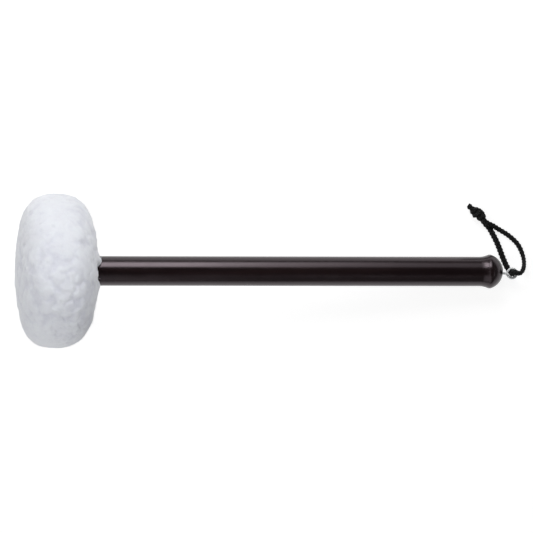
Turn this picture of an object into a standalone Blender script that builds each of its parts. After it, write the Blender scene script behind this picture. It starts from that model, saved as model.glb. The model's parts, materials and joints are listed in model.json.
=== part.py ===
"""Gong mallet lying on a table: weighted fleece head, lacquered handle, screw eye and cord lanyard.

The origin is on the table under the middle of the head. +X runs from the head to the butt and
+Z is up. Lengths are in metres.
"""

import math

import bmesh
import bpy
from mathutils import Matrix, Vector

# Whole mallet
overall_length = 0.3683
gap = 0.0003

# Head, as the fleece's outer surface
head_radius = 0.05715
head_half_depth = 0.030
head_squareness = 2.8
fleece_thickness = 0.010
fleece_sag = 0.002
neck_lip_radius = 0.0028
neck_lip_height = 0.0006

# Handle
handle_radius = 0.0111
butt_flare = 0.0017
butt_crest_to_tip = 0.0101
butt_fillet = 0.004
butt_cove_radius = 0.017
tenon_radius = 0.0075
tenon_chamfer = 0.0008

# Felt and batting
felt_disc_thickness = 0.004
felt_disc_rounding = 0.001
felt_strip_thickness = 0.0028
felt_turn_gap = 0.0005
batting_least = 0.0018
batting_over_felt = 0.0041

# Weighted core and its screw
core_radius = 0.026
core_chamfer = 0.0008
counterbore_depth = 0.007
washer_radius = 0.0115
washer_thickness = 0.0016
washer_play = 0.0005
screw_radius = 0.0029
screw_length = 0.036
screw_head_radius = 0.0055
screw_head_height = 0.004
screw_point_length = 0.005
tenon_setback = 0.001
pilot_spare_depth = 0.001

# Drawstring in the fleece's neck
drawstring_radius = 0.0006
drawstring_turns = 3
drawstring_turn_gap = 0.0005
drawstring_from_lip = 0.003
drawstring_play = 0.0005

# Screw eye
eye_wire_radius = 0.00075
eye_ring_radius = 0.0037
eye_reach = 0.0072
eye_offset = -0.0014
eye_thread_radius = 0.0012
eye_thread_length = 0.012
eye_point_length = 0.003
eye_bore_spare = 0.001
eye_neck_bend_start = 0.0056
eye_join_angle = math.radians(215)
eye_end_angle = math.radians(527)

# Lanyard
cord_radius = 0.00165
cord_floor_lift = 0.0001
knot_wraps = 2
knot_turn_gap = 0.00065
knot_wrap_radius = 0.0021
knot_core_radius = 0.0025
knot_core_overhang = 0.00015
knot_centre = (-0.0252, 0.0446)
knot_angle = math.radians(138.8)
upper_tail_length = 0.0048
lower_tail_length = 0.0042

# Facets
head_facets = 48
section_steps = 16
handle_facets = 32
small_facets = 20

butt_radius = handle_radius + butt_flare
soft_depth = fleece_thickness + batting_over_felt + felt_disc_thickness + 3 * gap
core_thickness = 2 * (head_half_depth - soft_depth)
cord_floor = cord_radius + cord_floor_lift
cord_spacing = 2 * cord_radius

# The loop's route from the knot's lower side, through the eye and back to its upper side. x and
# y are from the middle of the eye, z is from the table.
lanyard_route = [
    (-0.0170, 0.0345, cord_floor),
    (-0.0141, 0.0295, cord_floor),
    (-0.0114, 0.0242, cord_floor),
    (-0.0096, 0.0199, cord_floor),
    (-0.0079, 0.0154, 0.0020),
    (-0.0060, 0.0104, 0.0030),
    (-0.0039, 0.0055, 0.0046),
    (-0.0016, 0.0018, 0.0069),
    (-0.0002, 0.0001, 0.0104),
    (0.0007, 0.0005, 0.0130),
    (0.0026, 0.0008, 0.0148),
    (0.0048, -0.0001, 0.0151),
    (0.0069, 0.0010, 0.0140),
    (0.0084, 0.0035, 0.0117),
    (0.0091, 0.0064, 0.0086),
    (0.0092, 0.0094, 0.0056),
    (0.0088, 0.0124, 0.0034),
    (0.0079, 0.0155, 0.0021),
    (0.0063, 0.0193, cord_floor),
    (0.0041, 0.0228, cord_floor),
    (0.0013, 0.0257, cord_floor),
    (-0.0017, 0.02825, cord_floor),
    (-0.0049, 0.0305, cord_floor),
    (-0.0081, 0.0324, cord_floor),
    (-0.0113, 0.0343, 0.0024),
    (-0.0142, 0.0361, 0.0039),
]


def arc(centre, radius, start, end, count):
    """Points (station, radius) along a circle's arc, both ends included."""
    step = (end - start) / count
    angles = [start + step * i for i in range(count + 1)]
    return [(centre[0] + radius * math.cos(a), centre[1] + radius * math.sin(a)) for a in angles]


def head_point(angle, inset):
    """A point of the head's rounded section, moved in by inset along its normal."""
    power = 2 / head_squareness
    along = math.copysign(abs(math.cos(angle)) ** power, math.cos(angle)) * head_half_depth
    out = math.sin(angle) ** power * head_radius
    slope_along = (abs(along) / head_half_depth) ** (head_squareness - 1) / head_half_depth
    slope_out = (out / head_radius) ** (head_squareness - 1) / head_radius
    size = math.hypot(slope_along, slope_out)
    along -= math.copysign(inset * slope_along / size, along)
    return along, max(0.0, out - inset * slope_out / size)


def head_section(inset, first_radius, count):
    """The head's section from where it has first_radius on the handle's side to the front pole."""
    low, high = 0.0, math.pi / 2
    for _ in range(50):
        middle = (low + high) / 2
        if head_point(middle, inset)[1] < first_radius:
            low = middle
        else:
            high = middle
    step = (math.pi - high) / count
    points = [head_point(high + step * i, inset) for i in range(count)]
    return points + [(-(head_half_depth - inset), 0.0)]


def head_radius_at(station, inset):
    """The section's radius at a station along the handle, moved in by inset."""
    low, high = 0.0, math.pi / 2
    for _ in range(50):
        middle = (low + high) / 2
        if head_point(middle, inset)[0] > station:
            low = middle
        else:
            high = middle
    return head_point(high, inset)[1]


def butt_outline():
    """The butt from its tip to the straight shaft: dome, crest fillet and cove."""
    tip = overall_length - head_half_depth
    crest = tip - butt_crest_to_tip
    fillet_out = butt_radius - butt_fillet
    dome_radius = (butt_crest_to_tip**2 + fillet_out**2 - butt_fillet**2) / (
        2 * (butt_crest_to_tip - butt_fillet)
    )
    dome_angle = math.atan2(fillet_out, dome_radius - butt_crest_to_tip)
    cove_out = handle_radius + butt_cove_radius
    reach = butt_cove_radius + butt_fillet
    cove_back = math.sqrt(reach**2 - (cove_out - fillet_out) ** 2)
    cove_angle = math.atan2(cove_out - fillet_out, -cove_back)
    dome = arc((tip - dome_radius, 0), dome_radius, 0, dome_angle, 8)
    fillet = arc((crest, fillet_out), butt_fillet, dome_angle, cove_angle, 5)
    cove_start = cove_angle - math.pi
    cove = arc((crest - cove_back, cove_out), butt_cove_radius, cove_start, -math.pi / 2, 5)
    return dome + fillet[1:] + cove[1:]


def lowest(points, tilt):
    """How far below the handle's line at the head's middle a turned outline reaches."""
    return max(u * math.sin(tilt) + r * math.cos(tilt) for u, r in points)


def resting_tilt(head, butt):
    """The handle's slope when the sagging head and the butt both touch the table."""
    low, high = 0.0, math.radians(45)
    for _ in range(60):
        tilt = (low + high) / 2
        if lowest(butt, tilt) < lowest(head, tilt) - fleece_sag:
            low = tilt
        else:
            high = tilt
    return tilt


def material(name, color, roughness, metallic=0.0):
    made = bpy.data.materials.new(name)
    made.use_nodes = True
    shader = made.node_tree.nodes["Principled BSDF"]
    shader.inputs["Base Color"].default_value = (*color, 1)
    shader.inputs["Roughness"].default_value = roughness
    shader.inputs["Metallic"].default_value = metallic
    made.diffuse_color = (*color, 1)
    return made


def empty(name, location, rotation, collection):
    made = bpy.data.objects.new(name, None)
    made.location = location
    made.rotation_euler = rotation
    collection.objects.link(made)
    return made


def add(name, data, parent, collection, finish=None):
    made = bpy.data.objects.new(name, data)
    made.parent = parent
    collection.objects.link(made)
    if finish:
        data.materials.append(finish)
    return made


def turned(name, profile, facets, parent, collection, finish=None):
    """A closed (station, radius) outline turned about the parent's Z axis."""
    mesh = bpy.data.meshes.new(name)
    shape = bmesh.new()
    corners = [shape.verts.new((r, 0, u)) for u, r in profile]
    for first, second in zip(corners, corners[1:]):
        shape.edges.new((first, second))
    if profile[0][1] > 0:
        shape.edges.new((corners[-1], corners[0]))
    shape.to_mesh(mesh)
    shape.free()
    made = add(name, mesh, parent, collection, finish)
    screw = made.modifiers.new("Turn", "SCREW")
    screw.axis = "Z"
    screw.angle = math.tau
    screw.steps = facets
    screw.render_steps = facets
    screw.use_merge_vertices = True
    screw.merge_threshold = 0.00001
    return made


def wire(name, points, radius, sides, parent, collection, finish=None):
    """A round wire or cord along points, with capped ends; radii can vary by point."""
    curve = bpy.data.curves.new(name, "CURVE")
    curve.dimensions = "3D"
    curve.bevel_depth = radius
    curve.bevel_resolution = sides
    curve.use_fill_caps = True
    curve.twist_mode = "MINIMUM"
    spline = curve.splines.new("POLY")
    spline.points.add(len(points) - 1)
    for place, point in zip(spline.points, points):
        place.co = (*point[:3], 1)
        if len(point) > 3:
            place.radius = point[3] / radius
    return add(name, curve, parent, collection, finish)


def as_mesh(source):
    """The curve object made a mesh object of the same name, with its caps welded."""
    graph = bpy.context.evaluated_depsgraph_get()
    mesh = bpy.data.meshes.new_from_object(source.evaluated_get(graph))
    shape = bmesh.new()
    shape.from_mesh(mesh)
    bmesh.ops.remove_doubles(shape, verts=shape.verts, dist=0.000005)
    bmesh.ops.recalc_face_normals(shape, faces=shape.faces)
    shape.to_mesh(mesh)
    shape.free()
    name, parent, collection = source.name, source.parent, source.users_collection[0]
    bpy.data.objects.remove(source)
    return add(name, mesh, parent, collection)


def combine(target, other, operation):
    boolean = target.modifiers.new(operation.title(), "BOOLEAN")
    boolean.operation = operation
    boolean.solver = "EXACT"
    boolean.object = other


def as_cutter(helper):
    helper.hide_render = True
    helper.display_type = "WIRE"


def smooth_route(points, spacing):
    """Evenly spaced points along a centripetal Catmull-Rom curve through the route's points."""
    route = [Vector(p) for p in points]
    route = [2 * route[0] - route[1], *route, 2 * route[-1] - route[-2]]
    fine = []
    for a, b, c, d in zip(route, route[1:], route[2:], route[3:]):
        t1 = (b - a).length ** 0.5
        t2 = t1 + (c - b).length ** 0.5
        t3 = t2 + (d - c).length ** 0.5
        for i in range(16):
            t = t1 + (t2 - t1) * i / 16
            ab = a + (b - a) * (t / t1)
            bc = b + (c - b) * ((t - t1) / (t2 - t1))
            cd = c + (d - c) * ((t - t2) / (t3 - t2))
            abc = ab + (bc - ab) * (t / t2)
            bcd = bc + (cd - bc) * ((t - t1) / (t3 - t1))
            fine.append(abc + (bcd - abc) * ((t - t1) / (t2 - t1)))
    fine.append(route[-2])
    along = [0.0]
    for first, second in zip(fine, fine[1:]):
        along.append(along[-1] + (second - first).length)
    count = max(2, round(along[-1] / spacing))
    even, i = [], 0
    for k in range(count + 1):
        target = along[-1] * k / count
        while i < len(along) - 2 and along[i + 1] < target:
            i += 1
        share = (target - along[i]) / (along[i + 1] - along[i])
        even.append(fine[i].lerp(fine[i + 1], min(1.0, share)))
    return even


def make_handle(axis, eye_axis, parts, cutters):
    """Shaft with its flared butt, the tenon for the core, and bores for both screws."""
    shoulder = core_thickness / 2 + gap
    tenon_end = -core_thickness / 2 + counterbore_depth + tenon_setback
    pilot_radius = screw_radius + gap
    screw_end = screw_seat() + screw_length
    pilot_end = screw_end + pilot_spare_depth
    profile = [
        *butt_outline(),
        (shoulder, handle_radius),
        (shoulder, tenon_radius),
        (tenon_end + tenon_chamfer, tenon_radius),
        (tenon_end, tenon_radius - tenon_chamfer),
        (tenon_end, pilot_radius),
        (pilot_end, pilot_radius),
        (pilot_end + pilot_radius, 0),
    ]
    lacquer = material("brown lacquer", (0.028, 0.016, 0.017), 0.18)
    handle = turned("handle", profile, handle_facets, axis, parts, lacquer)
    depth = eye_thread_length + eye_bore_spare
    bore_radius = eye_thread_radius + gap
    mouth = butt_crest_to_tip
    bore = turned(
        "eye_bore_cutter",
        [(mouth, 0), (mouth, bore_radius), (-depth, bore_radius), (-depth - bore_radius, 0)],
        small_facets,
        eye_axis,
        cutters,
    )
    as_cutter(bore)
    combine(handle, bore, "DIFFERENCE")


def screw_seat():
    """Station of the core screw's head, where it bears on the washer."""
    return -core_thickness / 2 + counterbore_depth - 2 * gap - washer_thickness


def make_core(axis, parts):
    """Steel disc with a through bore for the tenon and a counterbore for washer and screw."""
    half = core_thickness / 2
    bore = tenon_radius + gap
    counterbore = washer_radius + washer_play
    profile = [
        (half, bore),
        (half, core_radius - core_chamfer),
        (half - core_chamfer, core_radius),
        (core_chamfer - half, core_radius),
        (-half, core_radius - core_chamfer),
        (-half, counterbore),
        (counterbore_depth - half, counterbore),
        (counterbore_depth - half, bore),
    ]
    steel = material("core steel", (0.35, 0.35, 0.36), 0.45, 1)
    turned("head_core", profile, handle_facets, axis, parts, steel)


def make_core_fastening(axis, parts):
    """Washer on the counterbore's floor, and the hexagon screw into the tenon."""
    steel = material("fastener steel", (0.55, 0.55, 0.57), 0.35, 1)
    seat = -core_thickness / 2 + counterbore_depth - gap
    hole = screw_radius + gap
    washer = [
        (seat, hole),
        (seat, washer_radius),
        (seat - washer_thickness, washer_radius),
        (seat - washer_thickness, hole),
    ]
    turned("core_washer", washer, small_facets, axis, parts, steel)
    head = screw_seat()
    end = head + screw_length
    shank = [
        (end, 0),
        (end - screw_point_length, screw_radius),
        (head - screw_head_height / 2, screw_radius),
        (head - screw_head_height / 2, 0),
    ]
    screw = turned("core_screw", shank, small_facets, axis, parts, steel)
    mesh = bpy.data.meshes.new("core_screw_head")
    shape = bmesh.new()
    bmesh.ops.create_cone(
        shape,
        cap_ends=True,
        segments=6,
        radius1=screw_head_radius,
        radius2=screw_head_radius,
        depth=screw_head_height,
    )
    shape.to_mesh(mesh)
    shape.free()
    hexagon = add("core_screw_head", mesh, axis, parts)
    hexagon.location = (0, 0, head - screw_head_height / 2)
    return screw, hexagon


def stack_radii():
    """Radii that the felt discs and the rim wrap may have inside the batting."""
    inset = fleece_thickness + 2 * gap + batting_least
    disc_face = core_thickness / 2 + gap + felt_disc_thickness + gap
    wrap_face = core_thickness / 2 + gap
    return head_radius_at(disc_face, inset), head_radius_at(wrap_face, inset)


def make_felts(axis, parts):
    """Felt disc over the core's front and felt ring round the handle behind it."""
    felt = material("wool felt", (0.55, 0.53, 0.50), 0.95)
    radius = stack_radii()[0]
    near = core_thickness / 2 + gap
    far = near + felt_disc_thickness
    edge = felt_disc_rounding
    front = [
        (-near, 0),
        (-near, radius),
        *arc((edge - far, radius - edge), edge, math.pi / 2, math.pi, 3),
        (-far, 0),
    ]
    turned("front_felt_disc", front, handle_facets, axis, parts, felt)
    hole = handle_radius + gap
    rear = [
        (far, hole),
        *arc((far - edge, radius - edge), edge, 0, math.pi / 2, 3),
        (near, radius),
        (near, hole),
    ]
    turned("rear_felt_ring", rear, handle_facets, axis, parts, felt)


def make_rim_wrap(axis, parts):
    """Felt strip wound edge-on round the core's rim, as one spiral strip."""
    inner = core_radius + gap
    pitch = felt_strip_thickness + felt_turn_gap
    turns = (stack_radii()[1] - inner - felt_strip_thickness) / pitch
    count = round(turns * 28)
    near_side, far_side = [], []
    for i in range(count + 1):
        angle = math.tau * turns * i / count
        radius = inner + pitch * turns * i / count
        facing = (math.cos(angle), math.sin(angle))
        near_side.append((radius * facing[0], radius * facing[1]))
        outer = radius + felt_strip_thickness
        far_side.append((outer * facing[0], outer * facing[1]))
    curve = bpy.data.curves.new("rim_felt_wrap", "CURVE")
    curve.dimensions = "2D"
    curve.fill_mode = "BOTH"
    curve.extrude = core_thickness / 2
    spline = curve.splines.new("POLY")
    outline = near_side + far_side[::-1]
    spline.points.add(len(outline) - 1)
    for place, point in zip(spline.points, outline):
        place.co = (*point, 0, 1)
    spline.use_cyclic_u = True
    add("rim_felt_wrap", curve, axis, parts, material("rim felt", (0.50, 0.48, 0.45), 0.95))
    print(f"rim_felt_wrap: {turns:.2f} turns, {felt_turn_gap * 1000:.2f} mm apart")


def make_batting(axis, parts):
    """Loose wool between the felts and the fleece, open at the neck."""
    inset = fleece_thickness + gap
    disc, wrap = (radius + gap for radius in stack_radii())
    hole = handle_radius + gap
    wrap_face = core_thickness / 2 + gap
    disc_face = wrap_face + felt_disc_thickness + gap
    inner = [
        (-disc_face, 0),
        (-disc_face, disc),
        (-wrap_face, disc),
        (-wrap_face, wrap),
        (wrap_face, wrap),
        (wrap_face, disc),
        (disc_face, disc),
        (disc_face, hole),
    ]
    profile = head_section(inset, hole, section_steps) + inner
    wool = material("batting", (0.80, 0.79, 0.76), 1.0)
    turned("wool_batting", profile, head_facets, axis, parts, wool)


def drawstring_span():
    """Stations where the drawstring's groove starts and ends in the fleece's neck."""
    pitch = 2 * drawstring_radius + drawstring_turn_gap
    length = drawstring_turns * pitch + 2 * drawstring_radius
    end = neck_end() - drawstring_from_lip
    return end - length - 2 * drawstring_play, end


def neck_end():
    """Station where the fleece's lip ends on the handle."""
    return neck_lip_base() + neck_lip_radius


def neck_lip_base():
    """Station of the lip's middle, a little above the section where the lip stands on it."""
    foot = handle_radius + gap + neck_lip_radius
    rise = (1 - (foot / head_radius) ** head_squareness) ** (1 / head_squareness)
    return head_half_depth * rise + neck_lip_height


def make_fleece(axis, parts, cutters):
    """Pile cover: a bag drawn in round the handle, flat where it rests on the table."""
    hole = handle_radius + gap
    base = neck_lip_base()
    lip_foot = hole + 2 * neck_lip_radius
    lip = arc((base, hole + neck_lip_radius), neck_lip_radius, 0, math.pi / 2, 4)
    inner_lip = arc((base, hole + neck_lip_radius), neck_lip_radius, -math.pi / 2, 0, 4)
    groove = drawstring_groove_radius()
    groove_start, groove_end = drawstring_span()
    outer = head_section(0, lip_foot + neck_lip_height, section_steps + 4)
    inner = head_section(fleece_thickness, hole, section_steps)[::-1]
    profile = [
        *inner_lip[:-1],
        *lip,
        *outer,
        *inner,
        (groove_start, hole),
        (groove_start, groove),
        (groove_end, groove),
        (groove_end, hole),
    ]
    pile = material("fleece pile", (0.78, 0.80, 0.84), 0.9)
    cover = turned("fleece_cover", profile, head_facets, axis, parts, pile)
    mesh = bpy.data.meshes.new("table_cutter")
    shape = bmesh.new()
    bmesh.ops.create_cube(shape, size=1)
    side = 4 * head_radius
    bmesh.ops.scale(shape, vec=(side, side, head_radius), verts=shape.verts)
    shape.to_mesh(mesh)
    shape.free()
    table = add("table_cutter", mesh, None, cutters)
    table.location = (0, 0, -head_radius / 2)
    as_cutter(table)
    combine(cover, table, "DIFFERENCE")


def drawstring_groove_radius():
    return handle_radius + gap + 2 * drawstring_radius + gap


def make_drawstring(axis, parts):
    """Thread wound round the handle inside the neck's groove."""
    pitch = 2 * drawstring_radius + drawstring_turn_gap
    radius = handle_radius + gap + drawstring_radius
    start = drawstring_span()[0] + drawstring_play + drawstring_radius
    per_turn = 24
    points = []
    for i in range(drawstring_turns * per_turn + 1):
        angle = math.tau * i / per_turn
        station = start + pitch * i / per_turn
        points.append((radius * math.cos(angle), radius * math.sin(angle), station))
    thread = material("thread", (0.70, 0.70, 0.68), 0.85)
    wire("neck_drawstring", points, drawstring_radius, 1, axis, parts, thread)
    print(f"neck_drawstring: turns {least_gap(points, drawstring_radius) * 1000:.2f} mm apart")


def least_gap(points, radius):
    """The least distance between a wound tube's neighbouring turns."""
    line = [Vector(p) for p in points]
    apart = [
        (line[i] - line[j]).length
        for i in range(len(line))
        for j in range(i + 8, len(line))
    ]
    return min(apart) - 2 * radius


def make_screw_eye(eye_axis, parts):
    """Steel wire bent to a ring, with its thicker threaded end in the butt."""
    middle = eye_reach
    bend = middle - eye_neck_bend_start
    thread = eye_thread_radius
    points = [
        (0, 0, -eye_thread_length, 0.0002),
        (0, 0, eye_point_length - eye_thread_length, thread),
        (0, 0, -gap, thread),
        (0, 0, gap, eye_wire_radius),
    ]
    join = (
        eye_ring_radius * math.sin(eye_join_angle),
        middle + eye_ring_radius * math.cos(eye_join_angle),
    )
    heading = eye_join_angle + math.pi / 2
    reach = (join[1] - bend) / 2
    for i in range(7):
        t = i / 7
        corners = (
            (0, bend),
            (0, bend + reach),
            (join[0] - reach * math.sin(heading), join[1] - reach * math.cos(heading)),
            join,
        )
        weights = ((1 - t) ** 3, 3 * t * (1 - t) ** 2, 3 * t**2 * (1 - t), t**3)
        across = sum(w * c[0] for w, c in zip(weights, corners))
        along = sum(w * c[1] for w, c in zip(weights, corners))
        points.append((0, across, along, eye_wire_radius))
    steps = 30
    for i in range(steps + 1):
        angle = eye_join_angle + (eye_end_angle - eye_join_angle) * i / steps
        across = eye_ring_radius * math.sin(angle)
        along = middle + eye_ring_radius * math.cos(angle)
        points.append((0, across, along, eye_wire_radius))
    zinc = material("zinc steel", (0.62, 0.63, 0.65), 0.28, 1)
    wire("screw_eye", points, eye_wire_radius, 2, eye_axis, parts, zinc)


def make_lanyard(pivot, parts):
    """Cord loop through the eye, its knot, and the two cut ends."""
    cord = material("black cord", (0.012, 0.012, 0.013), 0.75)
    pitch = 2 * cord_radius + knot_turn_gap
    core_half = knot_wraps * pitch / 2 + cord_radius + knot_core_overhang
    wire("lanyard_loop", loop_points(core_half), cord_radius, 2, pivot, parts, cord)
    place = (*knot_centre, knot_height())
    knot_axis = empty("knot_axis", place, (0, math.pi / 2, knot_angle), parts)
    knot_axis.parent = pivot
    per_turn = 16
    count = round(knot_wraps * per_turn)
    points = []
    for i in range(count + 1):
        angle = math.tau * i / per_turn
        station = -knot_wraps * pitch / 2 + pitch * i / per_turn
        upward = knot_wrap_radius * math.cos(angle)
        points.append((-upward, knot_wrap_radius * math.sin(angle), station))
    print(f"lanyard_knot: wraps {least_gap(points, cord_radius) * 1000:.2f} mm apart")
    knot = as_mesh(wire("lanyard_knot", points, cord_radius, 2, knot_axis, parts))
    knot.data.materials.append(cord)
    core = [
        (core_half, 0),
        (core_half, knot_core_radius),
        (-core_half, knot_core_radius),
        (-core_half, 0),
    ]
    filler = turned("knot_core", core, small_facets, knot_axis, parts)
    start = core_half + gap
    for name, lift, length in (
        ("lanyard_tail_upper", cord_radius + gap / 2, upper_tail_length),
        ("lanyard_tail_lower", -cord_radius - gap / 2, lower_tail_length),
    ):
        tail = [(-lift, 0, start), (-lift, 0, start + length)]
        wire(name, tail, cord_radius, 2, knot_axis, parts, cord)
    return knot, filler


def knot_height():
    return knot_wrap_radius + cord_radius + cord_floor_lift


def loop_points(core_half):
    """The loop's points, its ends stacked against the knot."""
    lift = cord_radius + gap / 2
    ends = []
    for reach in (core_half + gap, core_half + gap + cord_spacing):
        x = knot_centre[0] - reach * math.cos(knot_angle)
        y = knot_centre[1] - reach * math.sin(knot_angle)
        ends.append([(x, y, knot_height() - lift), (x, y, knot_height() + lift)])
    (first, last), (second, second_last) = ends
    route = [first, second, *lanyard_route, second_last, last]
    return smooth_route(route, cord_spacing)


def settle(made):
    """Applies the object's modifiers and shades it smooth between its sharp edges."""
    if made.type == "MESH" and made.modifiers:
        graph = bpy.context.evaluated_depsgraph_get()
        mesh = bpy.data.meshes.new_from_object(made.evaluated_get(graph))
        made.modifiers.clear()
        made.data = mesh
    if made.type == "MESH":
        made.data.shade_smooth()
        made.data.set_sharp_from_angle(angle=math.radians(35))


def main():
    for old in list(bpy.data.objects):
        bpy.data.objects.remove(old)
    scene = bpy.context.scene
    parts = bpy.data.collections.new("gong_mallet")
    cutters = bpy.data.collections.new("cutters")
    scene.collection.children.link(parts)
    scene.collection.children.link(cutters)

    head = head_section(0, handle_radius, 200)
    butt = butt_outline()
    tilt = resting_tilt(head, butt)
    height = lowest(head, tilt) - fleece_sag
    turn = (0, math.pi / 2 + tilt, 0)
    axis = empty("mallet_axis", (0, 0, height), turn, parts)
    tip = overall_length - head_half_depth
    eye_axis = empty("eye_axis", (0, eye_offset, tip), (0, 0, 0), parts)
    eye_axis.parent = axis
    middle = tip + eye_reach
    pivot_place = (middle * math.cos(tilt), eye_offset, 0)
    pivot = empty("lanyard_swing", pivot_place, (0, 0, 0), parts)

    make_handle(axis, eye_axis, parts, cutters)
    make_core(axis, parts)
    screw, hexagon = make_core_fastening(axis, parts)
    make_felts(axis, parts)
    make_rim_wrap(axis, parts)
    make_batting(axis, parts)
    make_fleece(axis, parts, cutters)
    make_drawstring(axis, parts)
    make_screw_eye(eye_axis, parts)
    knot, filler = make_lanyard(pivot, parts)

    bpy.context.view_layer.update()
    for target, other in ((screw, hexagon), (knot, filler)):
        combine(target, other, "UNION")
        parts.objects.unlink(other)
        cutters.objects.link(other)
        as_cutter(other)
    bpy.context.view_layer.update()
    for made in list(parts.objects):
        settle(made)
    print(f"tilt {math.degrees(tilt):.3f} deg, head height {height * 1000:.3f} mm")
    print(f"pivot {pivot_place[0] * 1000:.3f} {pivot_place[1] * 1000:.3f} mm")
    print(f"eye height {(height - middle * math.sin(tilt)) * 1000:.3f} mm")


main()
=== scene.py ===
import itertools
import json
import math

import bpy
import numpy as np
from mathutils import Matrix, Vector


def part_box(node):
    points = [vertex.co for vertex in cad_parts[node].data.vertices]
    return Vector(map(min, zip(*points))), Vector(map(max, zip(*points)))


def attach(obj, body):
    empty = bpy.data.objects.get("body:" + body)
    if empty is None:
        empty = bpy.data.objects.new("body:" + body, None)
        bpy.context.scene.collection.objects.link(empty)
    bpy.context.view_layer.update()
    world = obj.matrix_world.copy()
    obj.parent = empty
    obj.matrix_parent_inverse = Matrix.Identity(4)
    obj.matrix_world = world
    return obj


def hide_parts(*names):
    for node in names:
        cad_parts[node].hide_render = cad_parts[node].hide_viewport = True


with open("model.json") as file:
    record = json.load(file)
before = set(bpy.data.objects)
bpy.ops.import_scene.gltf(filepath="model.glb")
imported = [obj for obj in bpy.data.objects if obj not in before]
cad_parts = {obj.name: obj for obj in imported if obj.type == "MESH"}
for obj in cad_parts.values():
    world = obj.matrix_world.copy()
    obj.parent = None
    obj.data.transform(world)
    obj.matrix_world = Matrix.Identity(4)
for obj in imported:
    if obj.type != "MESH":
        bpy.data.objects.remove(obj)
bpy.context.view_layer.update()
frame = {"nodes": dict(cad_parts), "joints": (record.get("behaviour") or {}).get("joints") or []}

# Everything turned is modelled along the mallet's own axis: station 0 is the middle of the head
# and stations grow towards the butt. malletToWorld then lays it on the table.
mallet = {
    "length": 0.3683,
    "eyeStation": 0.3455,
    "eyeOffset": -0.0014,
    "handleRadius": 0.0111,
    "headRadius": 0.05715,
    "headHalfDepth": 0.030,
    "headSquareness": 2.8,
    "gap": 0.0003,
}
coreLow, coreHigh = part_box("head_core")
headCentre = (coreLow + coreHigh) / 2
eyePlace = Vector(frame["joints"][0]["pos_m"])
malletTilt = math.acos((eyePlace.x - headCentre.x) / mallet["eyeStation"])
malletToWorld = Matrix.Translation(headCentre) @ Matrix.Rotation(math.pi / 2 + malletTilt, 4, "Y")
tipStation = mallet["length"] - mallet["headHalfDepth"]
print(f"frame loaded, handle slopes {math.degrees(malletTilt):.2f} deg")


# Camera, straight above the table as for the photograph
photoCamera = {
    "place": (0.1570, 0.0035, 3.383),
    "roll": math.radians(0.0955),
    "focalPixels": 4462.9,
    "framePixels": 533,
    "sensor": 36,
    "clipEnd": 20,
}


def makeCamera():
    data = bpy.data.cameras.new("photoCamera")
    data.sensor_width = photoCamera["sensor"]
    data.lens = photoCamera["focalPixels"] / photoCamera["framePixels"] * photoCamera["sensor"]
    data.clip_end = photoCamera["clipEnd"]
    camera = bpy.data.objects.new("photoCamera", data)
    camera.location = photoCamera["place"]
    camera.rotation_euler = (0, 0, photoCamera["roll"])
    bpy.context.scene.collection.objects.link(camera)
    bpy.context.scene.camera = camera
    print("camera placed")


makeCamera()


# Small tools for modelling
weldDistance = 0.000001


def deselectAll():
    if bpy.context.object and bpy.context.object.mode != "OBJECT":
        bpy.ops.object.mode_set(mode="OBJECT")
    bpy.ops.object.select_all(action="DESELECT")


def activate(piece):
    deselectAll()
    piece.select_set(True)
    bpy.context.view_layer.objects.active = piece


def applyModifier(piece, kind, **settings):
    activate(piece)
    modifier = piece.modifiers.new(kind.title(), kind)
    for name, value in settings.items():
        setattr(modifier, name, value)
    bpy.ops.object.modifier_apply(modifier=modifier.name)


def finishPiece(piece, material, slot, body, *nodes):
    piece.data.materials.clear()
    piece.data.materials.append(material)
    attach(piece, body)
    if nodes:
        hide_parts(*nodes)
    print(f"{piece.name}: {len(piece.data.polygons)} faces")


def arcPoints(station, radius, size, start, end, count):
    points = []
    for i in range(count + 1):
        angle = start + (end - start) * i / count
        points.append((station + size * math.cos(angle), radius + size * math.sin(angle)))
    return points


def spinProfile(name, outline, steps, closed=False):
    # one vertex is drawn out along the outline, then the outline is spun round the mallet's axis
    deselectAll()
    bpy.ops.mesh.primitive_plane_add(location=(0, 0, 0))
    piece = bpy.context.object
    piece.name = name
    bpy.ops.object.mode_set(mode="EDIT")
    bpy.ops.mesh.merge(type="CENTER")
    (station, radius), *rest = outline
    bpy.ops.transform.translate(value=(radius, 0, station))
    if closed:
        rest.append(outline[0])
    for nextStation, nextRadius in rest:
        step = (nextRadius - radius, 0, nextStation - station)
        bpy.ops.mesh.extrude_vertices_move(TRANSFORM_OT_translate={"value": step})
        station, radius = nextStation, nextRadius
    bpy.ops.mesh.select_all(action="SELECT")
    bpy.ops.mesh.remove_doubles(threshold=weldDistance)
    bpy.ops.mesh.select_all(action="SELECT")
    bpy.ops.mesh.spin(steps=steps, angle=math.tau, center=(0, 0, 0), axis=(0, 0, 1))
    bpy.ops.mesh.select_all(action="SELECT")
    bpy.ops.mesh.remove_doubles(threshold=weldDistance)
    bpy.ops.mesh.normals_make_consistent(inside=False)
    bpy.ops.object.mode_set(mode="OBJECT")
    return piece


def smoothByAngle(piece, degrees):
    activate(piece)
    bpy.ops.object.shade_smooth_by_angle(angle=math.radians(degrees))


def smoothFaces(piece):
    for face in piece.data.polygons:
        face.use_smooth = True


def layDown(piece):
    piece.data.transform(malletToWorld)
    piece.data.update()
    return piece


def readVectors(items, name):
    values = np.empty(len(items) * 3, np.float32)
    items.foreach_get(name, values)
    return values.reshape(-1, 3).astype(float)


def writePointValues(piece, name, values):
    data = piece.data.attributes.new(name, "FLOAT", "POINT").data
    data.foreach_set("value", values.astype(np.float32))


def newMesh(name, points, faces):
    data = bpy.data.meshes.new(name)
    data.from_pydata(points, [], faces)
    data.update()
    piece = bpy.data.objects.new(name, data)
    bpy.context.scene.collection.objects.link(piece)
    return piece


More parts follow.
